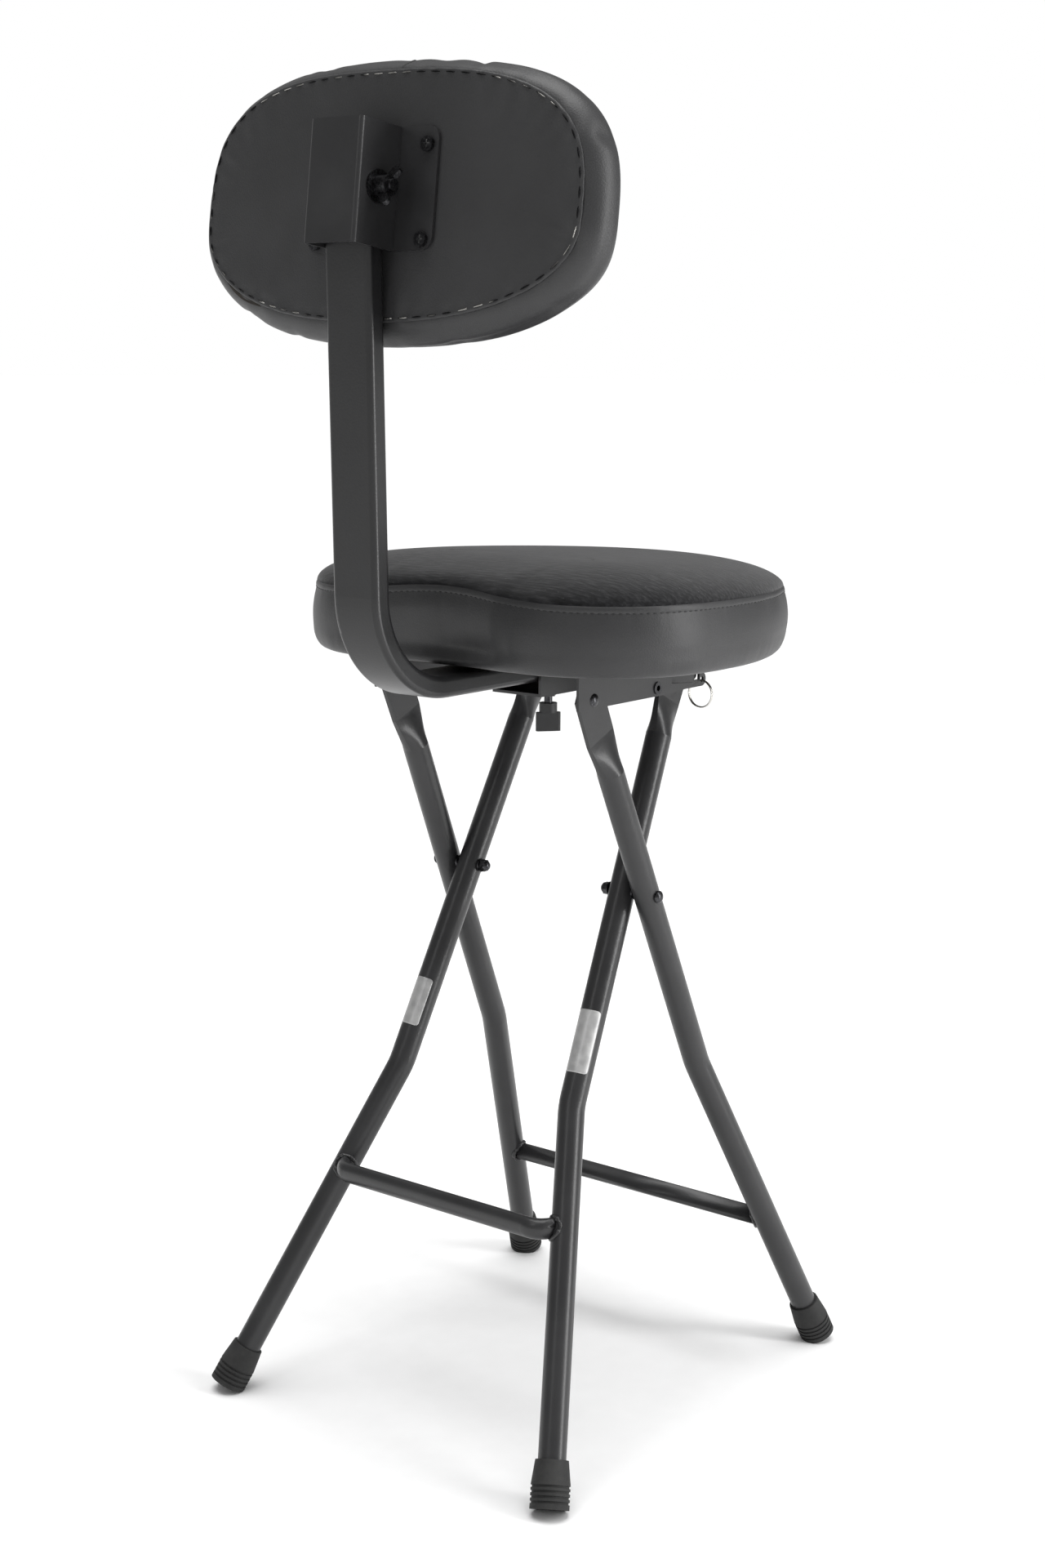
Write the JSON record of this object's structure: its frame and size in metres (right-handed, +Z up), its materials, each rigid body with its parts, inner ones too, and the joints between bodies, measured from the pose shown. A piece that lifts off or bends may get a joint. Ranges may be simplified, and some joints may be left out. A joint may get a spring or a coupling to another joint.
{
  "type": "folding guitar stool",
  "caption": "Folding guitar stool with crossed tube legs, a padded crowned seat with a latch, and a padded backrest that slides and tilts on a bent flat post.",
  "frame": {"origin": "on the floor, in the mid-plane, below the axis where the legs cross", "axes": "+Z up, -Y the way the sitter faces, +X to the sitter's left"},
  "size_m": [0.3334, 0.4066, 0.9347],
  "materials": {
    "powder_coat": "satin black powder coat",
    "dark_fastener": "black zinc plated steel",
    "bright_wire": "nickel plated wire",
    "foot_rubber": "matt moulded rubber",
    "black_plastic": "moulded plastic",
    "plywood": "bare plywood under the cover",
    "seat_cover": "black velour top with a satin vinyl band",
    "back_cover": "black satin vinyl with a velour front"
  },
  "bodies": {
    "outer_frame": {"dome_nut_left": "dark_fastener", "dome_nut_right": "dark_fastener", "front_bar": "powder_coat", "outer_foot_left": "foot_rubber", "outer_foot_right": "foot_rubber", "outer_leg_left": "powder_coat", "outer_leg_right": "powder_coat", "pivot_bolt_left": "dark_fastener", "pivot_bolt_right": "dark_fastener", "pivot_spacer_left": "dark_fastener", "pivot_spacer_right": "dark_fastener", "pivot_washer_left": "dark_fastener", "pivot_washer_right": "dark_fastener", "seat_rivet_left": "dark_fastener", "seat_rivet_right": "dark_fastener"},
    "inner_frame": {"inner_foot_left": "foot_rubber", "inner_foot_right": "foot_rubber", "inner_leg_left": "powder_coat", "inner_leg_right": "powder_coat", "latch_stud_left": "dark_fastener", "latch_stud_right": "dark_fastener", "rear_bar": "powder_coat"},
    "seat": {"latch_eyelet": "dark_fastener", "receiver": "powder_coat", "rest_hook_left": "powder_coat", "rest_hook_right": "powder_coat", "seat_board": "plywood", "seat_bolt_front_left": "dark_fastener", "seat_bolt_front_right": "dark_fastener", "seat_bolt_rear_left": "dark_fastener", "seat_bolt_rear_right": "dark_fastener", "seat_bracket": "powder_coat", "seat_cushion": "seat_cover", "weld_nut": "dark_fastener"},
    "latch_lever": {"latch_lever": "powder_coat"},
    "pull_ring": {"pull_ring": "bright_wire"},
    "back_post": {"back_post": "powder_coat", "post_plug_front": "black_plastic", "post_plug_top": "black_plastic"},
    "clamp": {"clamp_screw": "dark_fastener", "clamp_knob": "black_plastic"},
    "backrest": {"back_board": "plywood", "back_bracket": "powder_coat", "back_cushion": "back_cover", "bracket_screw_lower_left": "dark_fastener", "bracket_screw_lower_right": "dark_fastener", "bracket_screw_upper_left": "dark_fastener", "bracket_screw_upper_right": "dark_fastener", "tilt_bolt": "dark_fastener", "tilt_washer": "dark_fastener"},
    "wing_nut": {"wing_nut": "dark_fastener"}
  },
  "joints": [
    {"name": "leg_fold", "type": "hinge", "parent": "outer_frame", "child": "inner_frame", "pos_m": [0, 0, 0.3764], "axis": [-1, 0, 0], "range_deg": [0, 45]},
    {"name": "seat_fold", "type": "hinge", "parent": "outer_frame", "child": "seat", "pos_m": [0, 0.06502, 0.5227], "axis": [-1, 0, 0], "range_deg": [0, 67.5]},
    {"name": "latch_release", "type": "hinge", "parent": "seat", "child": "latch_lever", "pos_m": [-0.08, -0.00928, 0.5227], "axis": [1, 0, 0], "range_deg": [0, 25], "stiffness_Nm_per_rad": 0.06, "springref_deg": -20.05},
    {"name": "ring_swing", "type": "hinge", "parent": "latch_lever", "child": "pull_ring", "pos_m": [-0.08, -0.07998, 0.5207], "axis": [1, 0, 0], "range_deg": [-60, 40]},
    {"name": "post_slide", "type": "slide", "parent": "seat", "child": "back_post", "axis": [0, 1, 0], "range_m": [-0.03, 0.03]},
    {"name": "clamp_turn", "type": "hinge", "parent": "seat", "child": "clamp", "pos_m": [0, -0.00298, 0.5227], "axis": [0, 0, 1], "continuous": true},
    {"name": "back_tilt", "type": "hinge", "parent": "back_post", "child": "backrest", "pos_m": [0, 0.20177, 0.852], "axis": [1, 0, 0], "range_deg": [-18, 0]},
    {"name": "wing_turn", "type": "hinge", "parent": "backrest", "child": "wing_nut", "pos_m": [0, 0.20177, 0.852], "axis": [1, 0, 0], "continuous": true}
  ],
  "couplings": [
    {"joint": "seat_fold", "follows": "leg_fold", "ratio": 1.5}
  ]
}
